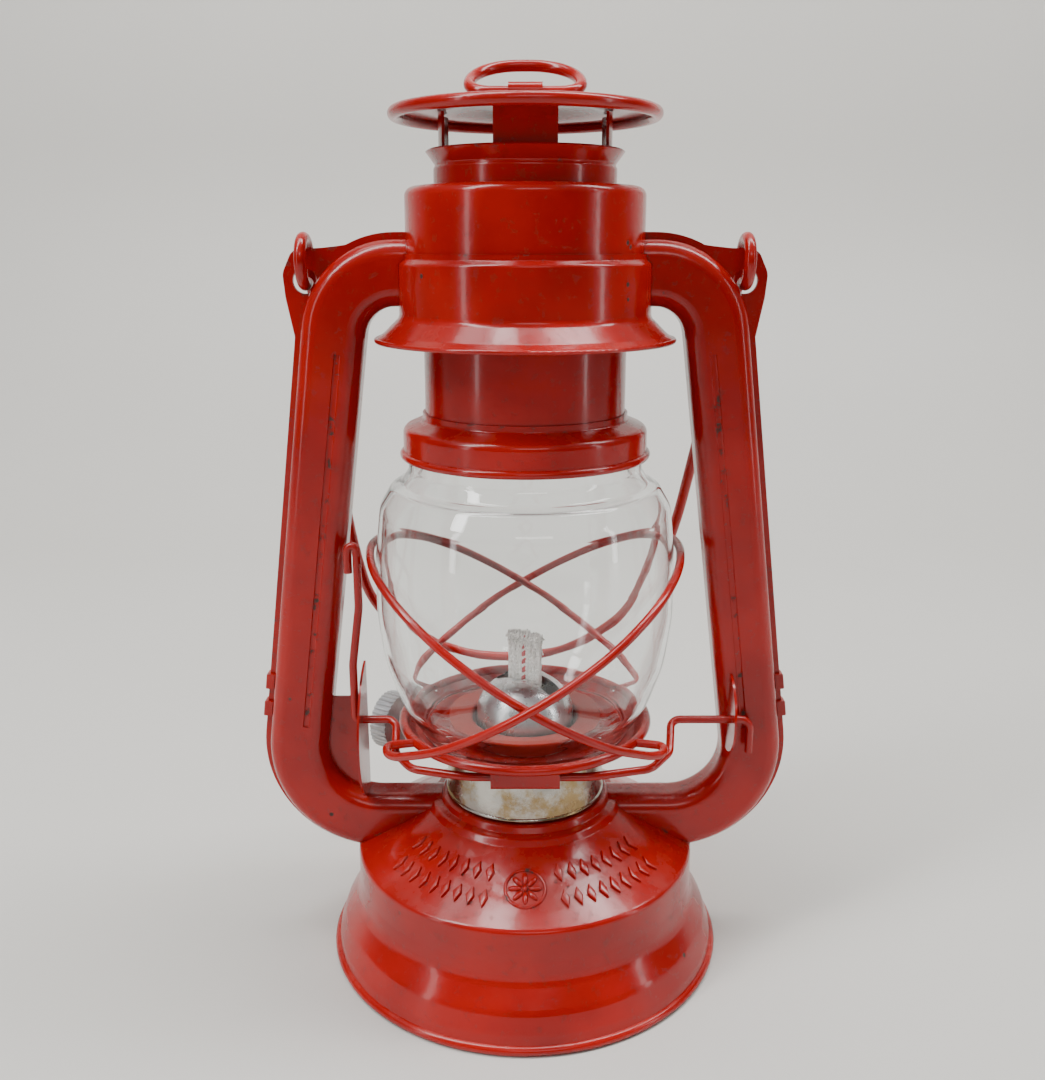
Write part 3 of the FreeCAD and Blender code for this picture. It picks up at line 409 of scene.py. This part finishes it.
def give(obj, body, slot_name, *nodes):
    """A finish, the body that the piece moves with, and the nodes that it stands for."""
    obj.data.materials.clear()
    obj.data.materials.append(finishes[slot_name])
    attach(obj, body)
    if nodes:
        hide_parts(*nodes)
    return obj


# ------------------------------------------------------------ globe
GLOBE_WALL = 2.0                # this piece's outline is in millimetres
GLOBE_NECK_R = 38.2
GLOBE_FOOT_R = 35.4


def glass_globe():
    low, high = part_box("globe")
    wall = GLOBE_WALL
    r = high.x / MM - wall / 2
    foot = low.z / MM
    top = high.z / MM
    neck = GLOBE_NECK_R - wall / 2
    points = [(GLOBE_FOOT_R, foot), (GLOBE_FOOT_R, foot + 1.6), (37.2, 86.0), (r - 7.0, 93.5),
              (r - 2.2, 107.5), (r, 124.0), (r, 143.0), (r - 1.9, 160.5),
              (r - 5.6, 167.0), (neck + 2.9, 168.3), (neck, 172.6),
              (neck, top)]
    radii = [2.0, 5.0, 24.0, 40.0, 60.0, 55.0, 8.0, 3.2, 3.2, 4.0]
    line = [p * MM for p in softened(points, radii)]
    obj = lathed("glass_globe", line, 160)
    apply_modifier(obj, "SOLIDIFY", thickness=wall * MM * 0.97, offset=0.0, use_even_offset=True)
    apply_modifier(obj, "BEVEL", width=0.5 * MM, segments=3, limit_method="ANGLE",
                   angle_limit=math.radians(50))
    outward(obj)
    settle(obj, 60)
    return give(obj, "globe_carrier", "globe_glass", "globe")


# ------------------------------------------------------------ wick
WICK_WIDE = 12.5 * MM
WICK_THICK = 2.6 * MM
WICK_TURN = math.radians(150)
YARN_R = 0.5 * MM
YARN_DEPTH = 19 * MM            # how far below the top the yarn is made
YARN_COLUMNS = 9
YARN_RISE = 1.42 * MM           # height of one stitch
FIBRE_COUNT = 420
FIBRE_DEPTH = 5.5 * MM
TUFT_COUNT = 26


def fibre():
    """One loose cotton end: a thin bent strand."""
    deselect()
    bpy.ops.mesh.primitive_cone_add(vertices=5, radius1=0.34 * MM, radius2=0.10 * MM, depth=2.6 * MM)
    obj = active()
    bpy.ops.object.mode_set(mode="EDIT")
    bpy.ops.mesh.select_all(action="SELECT")
    bpy.ops.mesh.bisect(plane_co=(0, 0, 0), plane_no=(0, 0, 1))
    bpy.ops.mesh.select_all(action="DESELECT")
    mesh = bmesh.from_edit_mesh(obj.data)
    for v in mesh.verts:
        v.select_set(v.co.z > 0.5 * MM)
    bmesh.update_edit_mesh(obj.data)
    bpy.ops.transform.rotate(value=0.6, orient_axis="X", center_override=(0, 0, 0))
    bpy.ops.object.mode_set(mode="OBJECT")
    return obj


def stitch():
    """One turn of yarn on the face of the wick."""
    deselect()
    bpy.ops.mesh.primitive_uv_sphere_add(segments=10, ring_count=7, radius=YARN_R)
    return stretched(active(), (1.25, 0.80, 2.1))


def tuft():
    """A clump of frayed cotton."""
    deselect()
    bpy.ops.mesh.primitive_ico_sphere_add(subdivisions=4, radius=1.0 * MM)
    obj = active()
    bpy.ops.object.mode_set(mode="EDIT")
    bpy.ops.mesh.select_all(action="SELECT")
    bpy.ops.transform.vertex_random(offset=0.45 * MM, seed=11)
    bpy.ops.object.mode_set(mode="OBJECT")
    return obj


def wick_core(low, top):
    """The band itself, a little thinner than the yarn on it, with a frayed top."""
    length = top - low
    deselect()
    bpy.ops.mesh.primitive_cube_add(size=1, location=(0, 0, 0))
    obj = active()
    bpy.ops.object.mode_set(mode="EDIT")
    bpy.ops.transform.resize(value=(WICK_WIDE * 0.97, WICK_THICK * 0.72, length), center_override=(0, 0, 0))
    bpy.ops.transform.translate(value=(0, 0, low + length / 2))
    for axis, cuts in ((2, 60), (0, 15), (1, 3)):
        pick_edges(obj, lambda e: abs((e.verts[1].co - e.verts[0].co).normalized()[axis]) > 0.9)
        bpy.ops.mesh.subdivide(number_cuts=cuts)
    for depth, amount, seed in ((12 * MM, 0.18 * MM, 3), (1.2 * MM, 0.7 * MM, 5)):
        bpy.ops.mesh.select_all(action="DESELECT")
        mesh = bmesh.from_edit_mesh(obj.data)
        for v in mesh.verts:
            v.select_set(v.co.z > top - depth)
        bmesh.update_edit_mesh(obj.data)
        bpy.ops.transform.vertex_random(offset=amount, seed=seed)
    bpy.ops.object.mode_set(mode="OBJECT")
    return obj


def jitter(reach):
    return random.uniform(-reach, reach) * MM


def knitted_faces(yarn, top):
    """Columns of stitches on both faces, and apart from them the red thread up the middle."""
    plain, marked = [], []
    pitch = WICK_WIDE / YARN_COLUMNS
    ragged = [random.uniform(-0.4, 0.7) for _ in range(YARN_COLUMNS)]
    for side in (-1, 1):
        for column in range(YARN_COLUMNS):
            offset = (column % 2) * YARN_RISE / 2
            for row in range(int(YARN_DEPTH / YARN_RISE)):
                x = ((column + 0.5) * pitch - WICK_WIDE / 2) * 0.92 + jitter(0.15)
                z = top - 0.5 * MM - (row + ragged[column]) * YARN_RISE - offset + jitter(0.15)
                y = side * (WICK_THICK / 2 - 0.46 * MM) + jitter(0.04)
                lean = math.radians((24 if column % 2 else -24) + random.uniform(-7, 7))
                copy = placed_copy(yarn, Matrix.Translation((x, y, z)) @ Matrix.Rotation(lean, 4, "Y"))
                if column == YARN_COLUMNS // 2 and row % 2 == 0:
                    copy.data.transform(Matrix.Diagonal((1.35, 1.25, 1.5, 1)))
                    marked.append(copy)
                else:
                    plain.append(copy)
    return plain, marked


def bound_edges(yarn, top):
    made = []
    for side in (-1, 1):
        for row in range(int(YARN_DEPTH / YARN_RISE) * 2):
            z = top - 0.6 * MM - row * YARN_RISE / 2
            place = Matrix.Translation((side * (WICK_WIDE / 2 - 0.45 * MM), 0, z))
            turn = Matrix.Rotation(math.pi / 2, 4, "Z") @ Matrix.Rotation(0.9, 4, "Y")
            made.append(placed_copy(yarn, place @ turn))
    return made


def loose_fibres(strand, top):
    """Ends that stand out near the top; those lower down lie on the faces."""
    made = []
    for _ in range(FIBRE_COUNT):
        x = random.uniform(-1, 1)
        y = random.uniform(-1, 1)
        down = random.random() ** 3 * FIBRE_DEPTH - 1.0 * MM * random.random() * (1.2 - abs(x))
        if down > 1.6 * MM:
            y = 1.0 if y > 0 else -1.0
        turn = Matrix.Rotation(random.uniform(0, 2 * math.pi), 4, "Z")
        lean = turn @ Matrix.Rotation(random.uniform(0.1, 1.1), 4, "X")
        spot = Matrix.Translation((x * WICK_WIDE / 2, y * WICK_THICK * 0.45, top - down))
        made.append(placed_copy(strand, spot @ lean))
    return made


def frayed_tufts(clump, top):
    made = []
    for k in range(TUFT_COUNT):
        x = (k + random.random()) / TUFT_COUNT * 2 - 1
        size = random.uniform(0.55, 1.25)
        y = random.uniform(-0.7, 0.7) * MM
        spot = Matrix.Translation((x * WICK_WIDE * 0.47, y, top - random.uniform(0.2, 1.5) * MM))
        spin = Matrix.Rotation(random.uniform(0, 2 * math.pi), 4, (0.3, 0.5, 0.8))
        made.append(placed_copy(clump, spot @ spin @ Matrix.Scale(size, 4)))
    return made


def wick_cloth():
    low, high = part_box("wick")
    top = high.z
    core = wick_core(low.z, top - 0.4 * MM)
    yarn = stitch()
    plain, marked = knitted_faces(yarn, top)
    parts = [core] + plain + bound_edges(yarn, top)
    strand = fibre()
    parts += loose_fibres(strand, top)
    clump = tuft()
    parts += frayed_tufts(clump, top)
    for pattern in (strand, yarn, clump):
        bpy.data.objects.remove(pattern)
    cloth = join("wick_cloth", parts)
    thread = join("wick_red_thread", marked)
    for obj in (cloth, thread):
        obj.data.transform(obj.matrix_world)
        obj.matrix_world = Matrix.Rotation(WICK_TURN, 4, "Z")
        settle(obj, 60)
    give(cloth, "wick_band", "wick_cotton", "wick")
    give(thread, "wick_band", "wick_cotton")
    thread.data.materials[0] = red_yarn("red wick thread")


# ------------------------------------------------------------ spring
SPRING_WIRE_R = 0.7 * MM
SPRING_TURNS = 5


def spring_coil():
    low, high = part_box("chimney_spring")
    wire = SPRING_WIRE_R
    turns = SPRING_TURNS
    radius = high.x - wire
    deselect()
    bpy.ops.mesh.primitive_circle_add(vertices=12, radius=wire, location=(radius, 0, low.z + wire),
                                      rotation=(math.pi / 2, 0, 0), fill_type="NGON")
    obj = active()
    bpy.ops.object.transform_apply(location=True, rotation=True, scale=True)
    made = obj.modifiers.new("Coil", "SCREW")
    made.axis = "Z"
    made.angle = 2 * math.pi * turns
    made.screw_offset = high.z - low.z - 2 * wire
    made.steps = 48 * turns
    made.render_steps = 48 * turns
    made.use_merge_vertices = False
    bpy.ops.object.modifier_apply(modifier=made.name)
    obj.name = "spring_coil"
    outward(obj)
    settle(obj, 60)
    give(obj, "frame", "spring_steel", "chimney_spring")
    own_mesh(obj)
    return obj


# ------------------------------------------------------------ ornament pressed in the dome
DOME_EDGE = (59.0, 37.5)        # radius and height where the sloping face starts, in millimetres
DOME_TOP = (34.0, 52.0)
LOZENGE_ROWS = ((50.2, 9, 15.0, 5.1), (42.4, 8, 15.0, 6.0))     # radius, count, first and pitch in degrees


def dome_place(radius, turn):
    """A frame on the dome's outer face: Z outwards, X along the circle."""
    slope = math.atan2(DOME_TOP[1] - DOME_EDGE[1], DOME_EDGE[0] - DOME_TOP[0])
    height = DOME_EDGE[1] + (DOME_EDGE[0] - radius) * math.tan(slope)
    out = Vector((math.cos(turn), math.sin(turn), 0))
    normal = out * math.sin(slope) + Vector((0, 0, math.cos(slope)))
    along = Vector((-math.sin(turn), math.cos(turn), 0))
    up = normal.cross(along)
    place = Matrix((along, up, normal)).transposed().to_4x4()
    place.translation = (out * radius + Vector((0, 0, height)) + normal * 0.35) * MM
    return place


def lozenge():
    deselect()
    bpy.ops.mesh.primitive_cylinder_add(vertices=4, radius=3.3 * MM, depth=1.9 * MM)
    obj = active()
    bpy.ops.object.mode_set(mode="EDIT")
    pick(obj, lambda face: face.normal.z > 0.9)
    bpy.ops.transform.resize(value=(0.5, 0.72, 1), center_override=(0, 0, 0.95 * MM))
    bpy.ops.mesh.select_all(action="SELECT")
    bpy.ops.transform.resize(value=(0.55, 1, 1), center_override=(0, 0, 0))
    bpy.ops.object.mode_set(mode="OBJECT")
    apply_modifier(obj, "BEVEL", width=0.3 * MM, segments=3, limit_method="ANGLE", angle_limit=0.3)
    return obj


def petal():
    deselect()
    bpy.ops.mesh.primitive_uv_sphere_add(segments=20, ring_count=12, radius=1.0 * MM)
    return stretched(active(), (0.95, 2.2, 0.9))


def hoop(major, minor):
    deselect()
    bpy.ops.mesh.primitive_torus_add(major_radius=major * MM, minor_radius=minor * MM, major_segments=48,
                                     minor_segments=12)
    return stretched(active(), (1, 1, 0.9))


def dome_ornament():
    """Two rows of lozenges either side of a plain rosette."""
    parts = []
    mark, leaf, ring, dot = lozenge(), petal(), hoop(6.4, 0.55), petal()
    for side in (-1, 1):
        for radius, count, first, pitch in LOZENGE_ROWS:
            for k in range(count):
                turn = FRONT + side * math.radians(first + k * pitch)
                parts.append(placed_copy(mark, dome_place(radius, turn)))
    middle = dome_place(46.4, FRONT)
    parts.append(placed_copy(ring, middle))
    for k in range(8):
        turn = Matrix.Rotation(k * math.pi / 4, 4, "Z") @ Matrix.Translation((0, 3.3 * MM, 0))
        parts.append(placed_copy(leaf, middle @ turn))
    parts.append(placed_copy(dot, middle @ Matrix.Scale(0.55, 4, (0, 1, 0))))
    for pattern in (mark, leaf, ring, dot):
        bpy.data.objects.remove(pattern)
    bpy.context.view_layer.update()
    for part in parts:
        only(part)
        bpy.ops.object.transform_apply(location=True, rotation=True, scale=True)
    obj = join("dome_ornament", parts)
    settle(obj, 45)
    return give(obj, "frame", "red_enamel")


# ------------------------------------------------------------ studio
def floor_finish():
    f = Finish("pale studio floor")
    colour = f.mix(f.noise(6, 3), rgb(0.60, 0.585, 0.55), rgb(0.63, 0.615, 0.58))
    f.set(Base_Color=colour, Roughness=0.5)
    return f.mat


def studio():
    """A floor whose far edge bends up into a wall."""
    deselect()
    bpy.ops.mesh.primitive_plane_add(size=1, location=(0, 0, 0))
    floor = active()
    floor.name = "studio_floor"
    bpy.ops.object.mode_set(mode="EDIT")
    bpy.ops.transform.resize(value=(14, 9.2, 1), center_override=(0, 0, 0))
    bpy.ops.transform.translate(value=(0, -3.75, 0))
    pick_edges(floor, lambda e: all(v.co.y > 0.5 for v in e.verts))
    bpy.ops.mesh.extrude_region_move(TRANSFORM_OT_translate={"value": (0, 0, 3)})
    pick_edges(floor, lambda e: all(v.co.y > 0.5 and v.co.z < 0.1 for v in e.verts))
    bpy.ops.mesh.bevel(offset=0.35, segments=16, profile=0.5)
    bpy.ops.object.mode_set(mode="OBJECT")
    settle(floor, 60)
    floor.data.materials.append(floor_finish())


def softbox(name, place, aim, size, power, colour=(1, 1, 1)):
    bpy.ops.object.light_add(type="AREA", location=place)
    lamp = active()
    lamp.name = name
    lamp.data.shape = "RECTANGLE"
    lamp.data.size, lamp.data.size_y = size
    lamp.data.energy = power
    lamp.data.color = colour
    lamp.rotation_euler = (Vector(aim) - Vector(place)).to_track_quat("-Z", "Y").to_euler()


def lights():
    """A soft sky, brighter overhead, with long boxes above and beside the lantern."""
    world = bpy.data.worlds.new("studio air")
    bpy.context.scene.world = world
    world.use_nodes = True
    air = world.node_tree
    sight = air.nodes.new("ShaderNodeTexCoord")
    height = air.nodes.new("ShaderNodeSeparateXYZ")
    fade = air.nodes.new("ShaderNodeValToRGB")
    air.links.new(sight.outputs["Generated"], height.inputs["Vector"])
    air.links.new(height.outputs["Z"], fade.inputs["Fac"])
    air.links.new(fade.outputs["Color"], air.nodes["Background"].inputs["Color"])
    fade.color_ramp.elements[0].color = (0.30, 0.30, 0.31, 1)
    fade.color_ramp.elements[0].position = 0.05
    fade.color_ramp.elements[1].color = (0.85, 0.87, 0.90, 1)
    fade.color_ramp.elements[1].position = 0.75
    air.nodes["Background"].inputs["Strength"].default_value = 0.36
    middle = (0, 0, 0.15)
    softbox("ceiling_left", (-0.60, -0.35, 1.30), middle, (0.22, 1.3), 18)
    softbox("ceiling_right", (0.55, 0.05, 1.35), middle, (0.22, 1.3), 14)
    softbox("strip_left", (-1.20, -0.85, 0.45), middle, (0.12, 1.0), 2.2)
    softbox("strip_right", (1.25, -0.45, 0.45), middle, (0.09, 1.0), 2)
    softbox("front_fill", (0.25, -2.2, 1.5), middle, (1.2, 0.4), 6, (1, 0.985, 0.96))
    softbox("wall_wash", (0, 0.12, 1.5), (0, 0.9, 0.35), (1.6, 0.3), 9)


def camera():
    bpy.ops.object.camera_add(location=(-0.00085, -0.350, 0.2433), rotation=(math.radians(74.75), 0, 0))
    view = active()
    view.name = "view"
    view.data.sensor_width = 36
    view.data.lens = 36.0
    view.data.clip_start = 0.01
    bpy.context.scene.camera = view


deselect()
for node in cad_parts.values():
    for place in node.material_slots:
        if place.material:
            place.material = finishes[place.material.name.split(".")[0]]
glass_globe()
wick_cloth()
spring_coil()
dome_ornament()
studio()
lights()
camera()
deselect()
